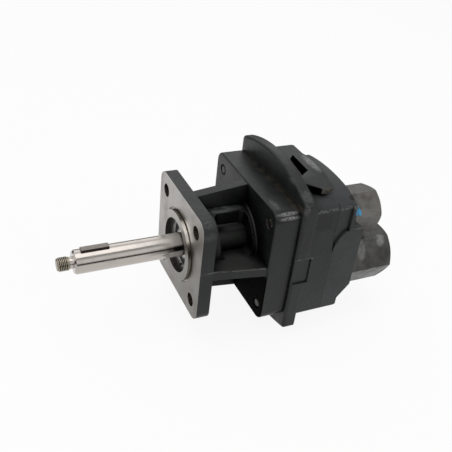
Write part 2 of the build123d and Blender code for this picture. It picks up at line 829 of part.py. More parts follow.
# Gear housing with the ridge, its deck and two pockets on top
with BuildPart() as gear_housing:
    extrude(body_outline(housing_front), amount=housing_length)
    # Deck behind the plate, drawn out to the right as a nose that overhangs the roof
    with BuildPart(mode=Mode.ADD):
        with BuildSketch(station(housing_front)):
            with BuildLine():
                Polyline(
                    (deck_left, body_left_top),
                    (deck_left, deck_height - deck_left_drop),
                    (deck_left - deck_left_run, deck_height),
                    (nose_bend, deck_height),
                    (nose_end, nose_height),
                    (nose_end, nose_floor),
                    (deck_right, nose_floor),
                    (deck_right, body_left_top),
                    close=True,
                )
            make_face()
        extrude(amount=housing_length)
        with BuildSketch(Plane.XY.offset(body_left_top)):
            with BuildLine():
                Polyline(
                    (housing_front, deck_left),
                    (housing_front, nose_root),
                    (cover_front - nose_reach_at_end - nose_shoulder, nose_end + nose_shoulder),
                    (cover_front - nose_reach_at_end, nose_end),
                    (cover_front, nose_end),
                    (cover_front, deck_left),
                    close=True,
                )
            make_face()
        extrude(amount=deck_height - body_left_top, mode=Mode.INTERSECT)
        under = nose_radius + nose_floor
        with BuildSketch(Plane.XZ.offset(-deck_right)):
            with BuildLine():
                Line((cover_front - nose_radius, nose_floor), (cover_front, nose_floor))
                Line((cover_front, nose_floor), (cover_front, under))
                RadiusArc((cover_front, under), (cover_front - nose_radius, nose_floor), nose_radius)
            make_face()
        extrude(amount=deck_right - nose_end, mode=Mode.SUBTRACT)
    # Low ridge along the deck's rear edge, run out at both ends
    ridge_floor = deck_height - ridge_rise
    ridge_top = deck_height + ridge_rise
    with BuildPart(mode=Mode.ADD):
        with BuildSketch(station(cover_front - ridge_width)):
            with BuildLine():
                Polyline(
                    (ridge_left, ridge_floor),
                    (ridge_left, deck_height),
                    (ridge_left - ridge_run_out, ridge_top),
                    (ridge_right, ridge_top),
                    (ridge_right - ridge_run_out, ridge_floor),
                    close=True,
                )
            make_face()
        extrude(amount=ridge_width)
        with BuildSketch(Plane.XZ):
            with BuildLine():
                Polyline(
                    (cover_front - ridge_width, ridge_floor),
                    (cover_front - ridge_width, deck_height),
                    (cover_front - ridge_flat, ridge_top),
                    (cover_front, ridge_top),
                    (cover_front, ridge_floor),
                    close=True,
                )
            make_face()
        extrude(amount=body_right, both=True, mode=Mode.INTERSECT)
    # Upper pocket in the deck, and the lower one under the nose
    with BuildSketch(Plane.XY.offset(pocket_floor)):
        with BuildLine():
            Polyline(*[(housing_front + along, across) for along, across in pocket_corners],
                     close=True)
        make_face()
    extrude(amount=ridge_top - pocket_floor, mode=Mode.SUBTRACT)
    with BuildSketch(Plane.XY.offset(pocket_floor)):
        with BuildLine():
            Polyline(
                (housing_front, deck_right),
                (housing_front, lower_pocket_right),
                (housing_front + lower_pocket_length, lower_pocket_right),
                (housing_front + lower_pocket_length, deck_right),
                close=True,
            )
        make_face()
    extrude(amount=nose_floor - pocket_floor, mode=Mode.SUBTRACT)
    # Bore for the plug in the nose
    with BuildSketch(Plane.XZ.offset(-nose_end)):
        with Locations((plug_place, plug_height)):
            Circle(ridge_plug_radius + thread_clearance)
    extrude(amount=-(ridge_plug_length - ridge_plug_proud), mode=Mode.SUBTRACT)
    # Gear chamber and the port pockets above and below the mesh
    extrude(gear_chamber(housing_front, cavity_radius), amount=housing_length,
            mode=Mode.SUBTRACT)
    with BuildSketch(station(housing_front, mesh_place)):
        SlotOverall(2 * port_pocket_reach, port_pocket_width, rotation=90)
    extrude(amount=housing_length, mode=Mode.SUBTRACT)
    extrude(gasket_track(housing_front, gasket_width), amount=gasket_depth, mode=Mode.SUBTRACT)
    extrude(gasket_track(cover_front, gasket_width), amount=-gasket_depth, mode=Mode.SUBTRACT)
    extrude(bolt_circles(housing_front, bolt_hole_radius), amount=housing_length,
            mode=Mode.SUBTRACT)
    extrude(dowel_circles(housing_front, dowel_radius + seat_clearance), amount=housing_length,
            mode=Mode.SUBTRACT)
    extrude(side_recess(), amount=-side_recess_depth, mode=Mode.SUBTRACT)
    # Recessed patch that fades out towards its foot
    with BuildSketch(station(housing_front + patch_front_margin)):
        with BuildLine():
            Polyline(
                (-body_right, patch_top),
                (-body_right + patch_depth, patch_top),
                (-body_right + patch_depth, port_block_top),
                (-body_right, patch_bottom),
                close=True,
            )
        make_face()
    extrude(amount=housing_length - patch_front_margin, mode=Mode.SUBTRACT)
gear_housing.part.label = "gear_housing"
export_step(gear_housing.part, "parts/gear_housing.step")

# Plug in the near end of the nose
with BuildPart() as ridge_plug:
    with BuildSketch(Plane.XZ.offset(-nose_end + ridge_plug_proud)):
        with Locations((plug_place, plug_height)):
            Circle(ridge_plug_radius)
    extrude(amount=-ridge_plug_length)
    chamfer(ridge_plug.faces().sort_by(Axis.Y)[0].edges(), ridge_plug_proud)
ridge_plug.part.label = "ridge_plug"
export_step(ridge_plug.part, "parts/ridge_plug.step")

# Rear cover with its port block and bosses
with BuildPart() as rear_cover:
    extrude(body_outline(cover_front), amount=rim_length)
    with BuildSketch(Plane.XZ):
        with BuildLine():
            Polyline(
                (rim_rear - rim_bevel, -body_bottom),
                (rim_rear, -body_bottom),
                (rim_rear, -body_bottom + rim_bevel),
                close=True,
            )
        make_face()
    extrude(amount=body_right, both=True, mode=Mode.SUBTRACT)
    with BuildSketch(Plane.XZ.offset(body_right)):
        with BuildLine():
            Polyline(
                (rim_rear, port_block_top),
                (port_face, port_block_top),
                (port_face, -port_block_bottom),
                (rim_rear, -port_block_bottom - port_block_slope),
                close=True,
            )
        make_face()
    extrude(amount=-(body_right + port_block_left))
    for port in adapters.values():
        with BuildSketch(station(rim_rear, port_offset_y, port["z"])):
            Circle(port["boss"])
        extrude(amount=port_boss_length)
    # Spot faces for the bolt heads
    extrude(bolt_circles(bolt_seat, spot_face_radius), amount=spot_face_depth,
            mode=Mode.SUBTRACT)
    extrude(bolt_circles(bolt_seat, boss_relief_radius), amount=port_face - bolt_seat,
            mode=Mode.SUBTRACT)
    extrude(bolt_circles(cover_front, bolt_hole_radius), amount=rim_length,
            mode=Mode.SUBTRACT)
    extrude(dowel_circles(cover_front, dowel_radius + seat_clearance),
            amount=(dowel_length - housing_length) / 2 + seat_clearance, mode=Mode.SUBTRACT)
    extrude(journal_circles(cover_front, bushing_radius), amount=bushing_length + side_clearance,
            mode=Mode.SUBTRACT)
    for port in adapters.values():
        level = port["z"] / port_offset_z
        with BuildSketch(station(port_face, port_offset_y, port["z"])):
            Circle(port["stub"] + thread_clearance)
        extrude(amount=-port_bore_depth, mode=Mode.SUBTRACT)
        with BuildSketch(station(port_face, port_offset_y, port["z"])):
            Circle(port["stub"] + port_ring_width + seat_clearance)
        extrude(amount=-port_ring_depth, mode=Mode.SUBTRACT)
        with BuildSketch(station(cover_front, mesh_place, level * passage_offset_z)):
            Circle(passage_radius)
        extrude(amount=port_face - port_bore_depth + passage_overrun - cover_front,
                mode=Mode.SUBTRACT)
    # Recessed patch, bounded below by the rounded shoulder of the port block
    with BuildSketch(Plane.XZ.offset(body_right)):
        with BuildLine():
            Line((cover_front, patch_bottom), (cover_front, patch_top))
            Polyline(
                (cover_front, patch_top),
                (rim_rear - patch_rear_margin, patch_top),
                (rim_rear - patch_rear_margin, port_block_top),
                (cover_front + port_block_curve, port_block_top),
            )
            ThreePointArc(
                (cover_front + port_block_curve, port_block_top),
                (cover_front + patch_bend_run, patch_bend_height),
                (cover_front, patch_bottom),
            )
        make_face()
    extrude(amount=-patch_depth, mode=Mode.SUBTRACT)
rear_cover.part.label = "rear_cover"
export_step(rear_cover.part, "parts/rear_cover.step")

# Flanged hexagon bolts from the rear cover into the bracket
with BuildPart() as body_bolts:
    extrude(bolt_circles(bolt_tip, bolt_radius), amount=bolt_seat - bolt_tip)
    chamfer(body_bolts.faces().group_by(Axis.X)[0].edges(), bolt_tip_chamfer)
    extrude(bolt_circles(bolt_seat, bolt_flange_radius), amount=bolt_flange_height)
    with BuildSketch(station(bolt_seat + bolt_flange_height)):
        with Locations(*bolt_places):
            RegularPolygon(bolt_hex_across / 2, 6, major_radius=False)
    extrude(amount=bolt_head_height - bolt_flange_height)
body_bolts.part.label = "body_bolts"
export_step(body_bolts.part, "parts/body_bolts.step")

# Dowel pins through the gear housing
with BuildPart() as dowel_pins:
    extrude(dowel_circles(housing_front - (dowel_length - housing_length) / 2, dowel_radius),
            amount=dowel_length)
dowel_pins.part.label = "dowel_pins"
export_step(dowel_pins.part, "parts/dowel_pins.step")

# Hexagon port adapters with their threaded stubs, and the rings that seal them
for port_name, port in adapters.items():
    port_plane = station(port_face, port_offset_y, port["z"])
    across = port["across"]
    corner = across / 2 / cos(radians(30))
    crown = across / 2 * adapter_crown_share
    slope = (corner - crown) * tan(adapter_bevel)
    with BuildPart() as adapter:
        with BuildSketch(port_plane):
            RegularPolygon(across / 2, 6, major_radius=False, rotation=port["turn"])
        extrude(amount=port["length"])
        with BuildSketch(Plane(origin=(port_face, port_offset_y, port["z"]), x_dir=(1, 0, 0),
                               z_dir=(0, -1, 0))):
            with BuildLine():
                Polyline(
                    (0, 0),
                    (0, crown),
                    (slope, corner),
                    (port["length"] - slope, corner),
                    (port["length"], crown),
                    (port["length"], 0),
                    close=True,
                )
            make_face()
        port_axis = Axis((0, port_offset_y, port["z"]), (1, 0, 0))
        revolve(axis=port_axis, mode=Mode.INTERSECT)
        with BuildSketch(port_plane):
            Circle(port["stub"])
        extrude(amount=-adapter_stub_length)
        with BuildSketch(port_plane.offset(port["length"])):
            Circle(port["socket"])
        extrude(amount=-adapter_socket_depth, mode=Mode.SUBTRACT)
        with BuildSketch(port_plane.offset(-adapter_stub_length)):
            Circle(port["bore"])
        extrude(amount=adapter_stub_length + port["length"], mode=Mode.SUBTRACT)
    adapter.part.label = f"{port_name}_port_adapter"
    export_step(adapter.part, f"parts/{adapter.part.label}.step")
    with BuildPart() as port_ring:
        with BuildSketch(port_plane.offset(-side_clearance / 2)):
            Circle(port["stub"] + port_ring_width)
            Circle(port["stub"] + seat_clearance, mode=Mode.SUBTRACT)
        extrude(amount=-(port_ring_depth - side_clearance))
    port_ring.part.label = f"{port_name}_port_ring"
    export_step(port_ring.part, f"parts/{port_ring.part.label}.step")
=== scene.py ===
"""Looks of a hydraulic gear motor with a cast shaft bracket: paint, ground steel, threads and studio.

Metres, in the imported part's own frame. X runs along the shaft towards the ports and Z is up.
"""

from math import cos, pi, radians, sin

import bpy
import numpy as np
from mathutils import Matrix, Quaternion, Vector


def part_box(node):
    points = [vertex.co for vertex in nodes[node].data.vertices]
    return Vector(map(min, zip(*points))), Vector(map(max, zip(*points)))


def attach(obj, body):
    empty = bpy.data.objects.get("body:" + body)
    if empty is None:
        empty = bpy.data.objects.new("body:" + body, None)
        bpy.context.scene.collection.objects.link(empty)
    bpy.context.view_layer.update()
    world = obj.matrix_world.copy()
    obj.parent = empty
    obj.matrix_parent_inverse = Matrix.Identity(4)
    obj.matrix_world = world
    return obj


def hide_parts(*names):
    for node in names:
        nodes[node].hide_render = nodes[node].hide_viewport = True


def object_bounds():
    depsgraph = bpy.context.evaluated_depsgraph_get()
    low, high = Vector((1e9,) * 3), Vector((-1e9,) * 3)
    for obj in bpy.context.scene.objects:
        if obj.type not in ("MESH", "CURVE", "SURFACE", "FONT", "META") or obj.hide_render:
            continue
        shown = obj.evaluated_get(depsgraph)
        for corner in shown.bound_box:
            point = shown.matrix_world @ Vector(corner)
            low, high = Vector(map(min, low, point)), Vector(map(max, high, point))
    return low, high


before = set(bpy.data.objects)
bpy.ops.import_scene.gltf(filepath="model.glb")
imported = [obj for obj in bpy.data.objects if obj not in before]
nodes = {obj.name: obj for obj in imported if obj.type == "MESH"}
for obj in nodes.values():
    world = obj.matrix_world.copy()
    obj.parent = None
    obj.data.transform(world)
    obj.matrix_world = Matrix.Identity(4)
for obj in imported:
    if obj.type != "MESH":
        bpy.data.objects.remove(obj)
cad_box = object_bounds()

# Camera, above and in front of the shaft bracket, looking down along its right side.
# It is turned a little about its own line of sight, as the motor leans in the picture.
image_side = 452
focal_length_pixels = 638.93
sensor_width = 36.0
picture_shift = (-0.00241, 0.00882)
view_depth = (0.01, 50.0)
camera_place = Vector((-0.18893, -0.44697, 0.34589))
camera_heading = radians(61.946)
camera_dip = radians(33.801)
camera_roll = radians(6.92)
sight = Vector((cos(camera_heading) * cos(camera_dip),
                sin(camera_heading) * cos(camera_dip),
                -sin(camera_dip)))
lens = bpy.data.cameras.new("camera")
lens.sensor_width = sensor_width
lens.lens = sensor_width * focal_length_pixels / image_side
lens.shift_x, lens.shift_y = picture_shift
lens.clip_start, lens.clip_end = view_depth
camera = bpy.data.objects.new("camera", lens)
camera.rotation_mode = "QUATERNION"
camera.rotation_quaternion = sight.to_track_quat("-Z", "Y") @ Quaternion((0, 0, 1), camera_roll)
camera.location = camera_place
bpy.context.scene.collection.objects.link(camera)
bpy.context.scene.camera = camera
bpy.context.scene.view_settings.view_transform = "Standard"


# Studio: a pale floor under the lowest point of the casting, a white room and four soft lamps.
# Metal mirrors a dark horizon and a grey ceiling in it, which draw the dark lines on the shaft.
class Wire:
    """A node's output. Arithmetic on it adds Math nodes, and node() adds any other node."""

    def __init__(self, tree, socket=None):
        self.tree = tree
        self.socket = socket

    def node(self, kind, settings=None, sockets=None, output=0):
        """Adds a node, its settings first and then its sockets' values or links."""
        made = self.tree.nodes.new("ShaderNode" + kind)
        for name, value in (settings or {}).items():
            setattr(made, name, value)
        for name, value in (sockets or {}).items():
            target = made.inputs[name]
            if isinstance(value, Wire):
                self.tree.links.new(value.socket, target)
            elif target.type == "RGBA":
                target.default_value = (*value, 1.0)
            else:
                target.default_value = value
        return Wire(self.tree, made.outputs[output] if len(made.outputs) else None)

    def math(self, operation, *values):
        return self.node("Math", {"operation": operation}, dict(enumerate(values)))

    def root(self):
        return self.math("SQRT", self)

    def __abs__(self):
        return self.math("ABSOLUTE", self)

    def __add__(self, other):
        return self.math("ADD", self, other)

    def __sub__(self, other):
        return self.math("SUBTRACT", self, other)

    def __rsub__(self, other):
        return self.math("SUBTRACT", other, self)

    def __mul__(self, other):
        return self.math("MULTIPLY", self, other)

    def __truediv__(self, other):
        return self.math("DIVIDE", self, other)

    def __gt__(self, other):
        return self.math("GREATER_THAN", self, other)

    def __lt__(self, other):
        return self.math("LESS_THAN", self, other)

    __radd__ = __add__
    __rmul__ = __mul__


def ease(value, low, high):
    """0 below low, 1 above high and a smooth rise between them."""
    return value.node("MapRange", {"interpolation_type": "SMOOTHSTEP"},
                      {"Value": value, "From Min": low, "From Max": high})


def tinted(share, first, second):
    """The first colour where share is 0 and the second where it is 1."""
    return share.node("Mix", {"data_type": "RGBA"}, {0: share, 6: first, 7: second}, output=2)


def either(first, second):
    """The larger of two masks."""
    return first.math("MAXIMUM", first, second)


def object_place(start):
    """A point's place in the piece's own coordinates, which turn with it."""
    return start.node("TexCoord", output="Object")


def length(vector):
    """How long a vector is."""
    return vector.node("VectorMath", {"operation": "LENGTH"}, {0: vector}, output="Value")


def seen_directly(start):
    """1 for camera, mirror and glass rays, to which the room shows plain white."""
    path = {name: start.node("LightPath", output=name)
            for name in ("Is Camera Ray", "Is Glossy Ray", "Is Transmission Ray")}
    return either(either(path["Is Camera Ray"], path["Is Glossy Ray"]),
                  path["Is Transmission Ray"])


white = (1.0, 1.0, 1.0)
horizon_grey = (0.04, 0.04, 0.04)
ceiling_grey = (0.45, 0.45, 0.45)
horizon_heights = (0.14, 0.24)
ceiling_heights = (0.62, 0.80)
room_light = 0.45
world = bpy.data.worlds.new("room")
bpy.context.scene.world = world
world.use_nodes = True
world.node_tree.nodes.clear()
room = Wire(world.node_tree)
gaze = room.node("SeparateXYZ", sockets={0: room.node("TexCoord", output="Generated")}, output="Z")
mirrored = room.node("LightPath", output="Is Glossy Ray")
horizon = tinted(mirrored * (1 - ease(gaze, *horizon_heights)), white, horizon_grey)
room_colour = tinted(mirrored * ease(gaze, *ceiling_heights), horizon, ceiling_grey)
white_room = room.node("Background", sockets={"Color": room_colour})
soft_room = room.node("Background", sockets={"Color": white, "Strength": room_light})
room.node("OutputWorld", sockets={"Surface": room.node("MixShader", sockets={
    0: seen_directly(room), 1: soft_room, 2: white_room})})

floor_reach = 6.0
floor_gap = 0.0005
floor_paint = (0.88, 0.88, 0.88)
floor_glow = 0.9
floor_fade = (0.7, 1.0)
floor_level = cad_box[0].z - floor_gap
floor_mesh = bpy.data.meshes.new("floor")
floor_mesh.from_pydata(
    [(x, y, floor_level) for x, y in ((-floor_reach, -floor_reach), (floor_reach, -floor_reach),
                                      (floor_reach, floor_reach), (-floor_reach, floor_reach))],
    [], [(0, 1, 2, 3)])
floor = bpy.data.objects.new("floor", floor_mesh)
bpy.context.scene.collection.objects.link(floor)
floor_finish = bpy.data.materials.new("pale_floor")
floor_finish.use_nodes = True
floor_finish.node_tree.nodes.clear()
boards = Wire(floor_finish.node_tree)
lit_floor = boards.node("BsdfDiffuse", sockets={"Color": floor_paint})
far_floor = ease(length(object_place(boards)), *floor_fade)
far_floor = far_floor * boards.node("LightPath", output="Is Glossy Ray")
white_floor = boards.node("Emission", sockets={"Color": tinted(far_floor, white, horizon_grey)})
boards.node("OutputMaterial", sockets={"Surface": boards.node("MixShader", sockets={
    0: seen_directly(boards) * floor_glow, 1: lit_floor, 2: white_floor})})
floor_mesh.materials.append(floor_finish)

lamps = {
    "overhead": {"place": (-0.2, 0.0, 1.8), "side": 1.55, "watts": 12.0},
    "key": {"place": (-0.9, -1.1, 1.5), "side": 1.6, "watts": 8.0},
    "fill": {"place": (1.3, -1.2, 0.8), "side": 1.2, "watts": 4.5},
    "back": {"place": (0.4, 1.7, 1.5), "side": 2.2, "watts": 7.0},
}
aim = (cad_box[0] + cad_box[1]) / 2
for lamp_name, lamp in lamps.items():
    light = bpy.data.lights.new(lamp_name, "AREA")
    light.size = lamp["side"]
    light.energy = lamp["watts"]
    stand = bpy.data.objects.new(lamp_name, light)
    stand.location = lamp["place"]
    stand.rotation_mode = "QUATERNION"
    stand.rotation_quaternion = (aim - stand.location).to_track_quat("-Z", "Y")
    bpy.context.scene.collection.objects.link(stand)


# Shaft bracket: an iron casting in satin black paint, brushed on thinly over the sand's grain.
# Its front face, pilot and bearing bore are machined bare, in rings about the shaft.
def finish(name, recipe, *settings):
    """A material from a recipe that returns the values of the Principled shader's sockets."""
    material = bpy.data.materials.new(name)
    material.use_nodes = True
    material.node_tree.nodes.clear()
    start = Wire(material.node_tree)
    shader = start.node("BsdfPrincipled", sockets=recipe(start, *settings))
    start.node("OutputMaterial", sockets={"Surface": shader})
    return material


merge_distance = 1e-6


def smoothing(angle):
    """Geometry nodes that merge loose facets and keep only edges over an angle sharp."""
    group = bpy.data.node_groups.new("smooth_curves", "GeometryNodeTree")
    group.interface.new_socket("Geometry", in_out="INPUT", socket_type="NodeSocketGeometry")
    group.interface.new_socket("Geometry", in_out="OUTPUT", socket_type="NodeSocketGeometry")
    source = group.nodes.new("NodeGroupInput")
    merged = group.nodes.new("GeometryNodeMergeByDistance")
    merged.inputs["Distance"].default_value = merge_distance
    curved = group.nodes.new("GeometryNodeSetShadeSmooth")
    crease = group.nodes.new("GeometryNodeInputMeshEdgeAngle")
    sharp = group.nodes.new("FunctionNodeCompare")
    sharp.operation = "GREATER_THAN"
    sharp.inputs[1].default_value = angle
    edges = group.nodes.new("GeometryNodeSetShadeSmooth")
    edges.domain = "EDGE"
    edges.inputs["Shade Smooth"].default_value = False
    result = group.nodes.new("NodeGroupOutput")
    for output, target in (
        (source.outputs[0], merged.inputs["Geometry"]),
        (merged.outputs[0], curved.inputs[0]),
        (curved.outputs[0], edges.inputs[0]),
        (crease.outputs["Unsigned Angle"], sharp.inputs[0]),
        (sharp.outputs[0], edges.inputs["Selection"]),
        (edges.outputs[0], result.inputs[0]),
    ):
        group.links.new(output, target)
    return group


smooth_curves = smoothing(radians(28.0))


def smooth(made):
    """Smooth shading wherever a piece's facets meet at a low angle."""
    made.modifiers.new("smooth_curves", "NODES").node_group = smooth_curves


def dress(names, material):
    """Gives CAD nodes a finish and smooth curves."""
    for name in names:
        mesh = nodes[name].data
        mesh.materials.clear()
        mesh.materials.append(material)
        smooth(nodes[name])


def noise(place, scale, detail=2.0, roughness=0.5):
    """Blender's noise at so many lumps to the metre."""
    return place.node("TexNoise", sockets={
        "Vector": place, "Scale": scale, "Detail": detail, "Roughness": roughness})


def stretched(place, along, across, upward):
    """Coordinates scaled by axis, which draws a noise out into streaks."""
    return place.node("VectorMath", {"operation": "MULTIPLY"}, {0: place, 1: (along, across, upward)})


def axes(place):
    """The X, Y and Z of a position."""
    return [place.node("SeparateXYZ", sockets={0: place}, output=axis) for axis in "XYZ"]


def from_shaft(y, z):
    """Distance from the shaft's axis."""
    return (y * y + z * z).root()


def softened(start, radius):
    """The normal with sharp edges rounded over a radius."""
    return start.node("Bevel", {"samples": 4}, {"Radius": radius})


def edge_share(start, radius):
    """How near a point is to a sharp edge: the rounded normal's turn away from the true one."""
    turn = start.node("VectorMath", {"operation": "DOT_PRODUCT"}, {
        0: softened(start, radius), 1: start.node("NewGeometry", output="Normal")}, output="Value")
    return ease(1 - turn, 0.015, 0.12)


def near(place, centre, reach):
    """1 at a centre, fading to 0 on an ellipsoid with the given reach along each axis."""
    apart = place.node("VectorMath", {"operation": "SUBTRACT"}, {0: place, 1: centre})
    share = place.node("VectorMath", {"operation": "DIVIDE"}, {0: apart, 1: reach})
    return 1 - ease(length(share), 0.45, 1.0)


def between(value, low, high, blur):
    """1 inside a band and 0 outside, with blurred ends."""
    return ease(value, low - blur, low + blur) * (1 - ease(value, high - blur, high + blur))


def facing(start, axis):
    """How far a surface faces along an axis."""
    return start.node("SeparateXYZ", sockets={
        0: start.node("NewGeometry", output="Normal")}, output=axis)


def hidden(start, reach):
    """How much of the sky over a point is blocked by the casting within a distance."""
    return 1 - start.node("AmbientOcclusion", {"samples": 8}, {"Distance": reach}, output="AO")


paint_hue = (0.93, 1.0, 1.03)
dust_brown = (0.060, 0.052, 0.040)
# Grey of dust on what faces up, and of painted light on the roof.
dust_and_light_grey = (0.045, 0.047, 0.050)
worn_grey = (0.22, 0.22, 0.215)
# Black for painted shade and shadow, and for dark joints.
shade_and_joint_black = (0.0012, 0.0013, 0.0012)
bay_reach = 0.06
pocket_reach = 0.012
worn_edge = 0.0010
paint_edge = 0.0007


def paint_shade(tone):
    """Black paint of a given lightness, a little blue."""
    return tuple(tone * part for part in paint_hue)


def cast_paint(start, tone, rubbed=()):
    """Black paint: cloudy tone, casting grain, dust on what faces up, rubbed edges and places, and painted
    shade in hollows.
    """
    place = object_place(start)
    clouds = ease(noise(place, 34, 5, 0.65), 0.35, 0.66)
    grain = noise(place, 900, 3, 0.65)
    lumps = noise(place, 260, 2)
    speckle = ease(noise(place, 1300, 2, 0.6), 0.60, 0.72)
    flecks = ease(noise(place, 800, 4, 0.75), 0.50, 0.60)
    chips = ease(noise(place, 1000, 3, 0.7), 0.40, 0.58)
    # Painted shade: where the casting hides the sky close by, the colour goes black and the metallic rises
    # to damp the reflections.
    hollow_shade = either(ease(hidden(start, bay_reach), 0.26, 0.70), ease(hidden(start, pocket_reach), 0.46, 0.88))
    dusty = ease(facing(start, "Z"), 0.5, 0.95) * ease(noise(place, 60, 5, 0.65), 0.35, 0.75)
    worn = edge_share(start, worn_edge) * flecks * 0.14 * (1 - hollow_shade)
    for centre, reach, strength in rubbed:
        worn = either(worn, near(place, centre, reach) * chips * strength)
    colour = tinted(clouds, paint_shade(0.65 * tone), paint_shade(1.30 * tone))
    colour = tinted(speckle * 0.6, colour, paint_shade(2.6 * tone))
    colour = tinted(dusty * 0.22, colour, dust_and_light_grey)
    colour = tinted(hollow_shade, colour, shade_and_joint_black)
    colour = tinted(worn, colour, worn_grey)
    normal = start.node("Bump", sockets={
        "Strength": 0.9, "Distance": 0.0004, "Height": grain * 0.4 + lumps * 0.6,
        "Normal": softened(start, paint_edge)})
    return {"Base Color": colour, "Roughness": 0.34 + clouds * 0.14 - worn * 0.1,
            "Metallic": either(worn * 0.5, hollow_shade * 0.85), "Normal": normal,
            "Specular IOR Level": 0.28}


# The bracket's own places: machined iron lies in front of face_skin and inside groove_rim.
bracket_tone = 0.0115
face_skin = 0.0004
groove_end = 0.005
groove_rim = 0.036
groove_radii = (0.0333, 0.0357)
pilot_skin = 0.0333
bore_mouth = -0.0033
bore_skin = 0.0275
barrel_start = 0.019
barrel_skin = 0.0374
flange_back = 0.0126
bolt_place = 0.037
bolt_hole_skin = 0.0072
seam_blend = (0.0795, 0.0865)
seam_height = 0.0585
web_edge_heights = (0.0021, 0.0036)
web_taper = 0.172
web_side = -0.0491
web_end = 0.061
web_top = (0.0024, 0.0036)
rear_flange_front = 0.055
shelter_heights = (-0.012, 0.002)
bracket_rubs = [
    ((0.0750, -0.0590, 0.0576), (0.0140, 0.0024, 0.0024), 1.0),
    ((0.0760, -0.0616, 0.0540), (0.0130, 0.0023, 0.0023), 1.0),
    ((0.0680, -0.0460, 0.0600), (0.0040, 0.0110, 0.0020), 0.35),
    ((0.0060, -0.0480, 0.0520), (0.0080, 0.0060, 0.0050), 0.22),
    ((0.0060, -0.0520, 0.0420), (0.0090, 0.0030, 0.0060), 0.18),
]


def bracket_coat(start, place, x, y, z):
    """Cast paint: brown along the seam, worn grey with a painted highlight on the web's edge, painted light
    on the web and barrel, and painted shade in the barrel and low bay.
    """
    paint = cast_paint(start, bracket_tone, bracket_rubs)
    film = ease(noise(place, 90, 4, 0.7), 0.35, 0.65)
    seam = ease(x, *seam_blend) * (z > seam_height)
    # The lower web's outer edge: worn paint, with a painted highlight along it.
    web_edge = between(z, *web_edge_heights, 0.0004) * (y + x * web_taper < web_side) * (x < web_end)
    # Painted highlight along the barrel's upper side.
    barrel_highlight = near(place, (0.0390, -0.0080, 0.0370), (0.0240, 0.0065, 0.0022))
    # Painted shade: black inside the barrel, and on the rear flange's face in the low bay, made metallic
    # and rough there to damp reflections.
    inside = (from_shaft(y, z) < barrel_skin) * (x > barrel_start)
    bay_shade = (x > rear_flange_front) * (facing(start, "X") < -0.5) * (1 - ease(z, *shelter_heights))
    # Painted light: a pool of light on the lower web's upper face, where the metallic is taken off again.
    lit_web = (facing(start, "Z") > 0.9) * between(z, *web_top, 0.0002)
    lit_web = lit_web * near(place, (0.0380, -0.0480, 0.0030), (0.0230, 0.0230, 0.0100))
    from_bolt = length(start.node("CombineXYZ", sockets={
        "X": abs(y) - bolt_place, "Y": abs(z) - bolt_place}))
    bolt_holes = (x > face_skin) * (x < flange_back) * (from_bolt < bolt_hole_skin)
    colour = tinted(seam * film * 0.8, paint["Base Color"], dust_brown)
    colour = tinted(web_edge * ease(film, 0.1, 0.5) * 0.8, colour, (0.085, 0.085, 0.080))
    colour = tinted(barrel_highlight * film, colour, (0.085, 0.090, 0.088))
    colour = tinted(either(inside * 0.9, bay_shade), colour, (0.003, 0.0035, 0.003))
    colour = tinted(lit_web * 0.8, colour, (0.024, 0.025, 0.023))
    colour = tinted(bolt_holes * ease(noise(place, 500, 4), 0.35, 0.6), colour, (0.07, 0.06, 0.045))
    paint["Base Color"] = colour
    paint["Metallic"] = either(paint["Metallic"], bay_shade) * (1 - lit_web)
    paint["Roughness"] = either(paint["Roughness"], bay_shade)
    return paint


def turned_face(start, place):
    """Bare iron off the lathe: fine rings about the shaft, brown stains, and painted reflection darkening
    it towards its low corner.
    """
    y, z = axes(place)[1:]
    rings = noise(place.node("CombineXYZ", sockets={"X": from_shaft(y, z)}), 2600, 3, 0.7)
    stain_and_shade = noise(place, 45, 4, 0.6)
    # Painted reflection: darker towards the low corner, where the face mirrors the shaded floor.
    painted_reflection = ease(y + z + stain_and_shade * 0.03, -0.045, 0.075)
    colour = tinted(painted_reflection, (0.185, 0.175, 0.16), (0.40, 0.385, 0.365))
    colour = tinted(ease(stain_and_shade, 0.45, 0.75) * 0.35, colour, (0.17, 0.15, 0.125))
    colour = tinted(ease(rings, 0.45, 0.7) * 0.25, colour, (0.46, 0.45, 0.43))
    return colour, 0.34 + ease(stain_and_shade, 0.3, 0.8) * 0.14, rings


def bracket_iron(start, place, x, y, z):
    """Turned iron, with painted glare and dark painted reflections on the pilot's wall, a dark groove, and
    painted shade in the bore.
    """
    radius = from_shaft(y, z)
    upward = z / radius
    colour, roughness, rings = turned_face(start, place)
    pilot_wall = (x < -0.0002) * (radius > pilot_skin)
    # Painted shade: the bore's wall is darker.
    bore_wall = (x > bore_mouth) * (radius < bore_skin)
    groove = (x > 0.0001) * (radius > groove_radii[0]) * (radius < groove_radii[1])
    # Painted reflections on the pilot's wall by angle about the shaft: a band of glare and dark bands.
    pilot_glare = between(upward, 0.60, 0.94, 0.05) * (y < 0)
    pilot_dark_reflections = either(between(upward, 0.20, 0.55, 0.08) * (y < 0), ease(upward, 0.95, 0.98))
    wall = tinted(pilot_glare, (0.36, 0.33, 0.30), (0.92, 0.88, 0.82))
    wall = tinted(pilot_dark_reflections, wall, (0.17, 0.15, 0.12))
    colour = tinted(pilot_wall, colour, wall)
    colour = tinted(bore_wall, colour, (0.12, 0.11, 0.105))
    colour = tinted(groove, colour, (0.26, 0.24, 0.21))
    normal = start.node("Bump", sockets={"Strength": 0.2, "Distance": 0.0001, "Height": rings})
    return colour, roughness - pilot_wall * 0.18, normal


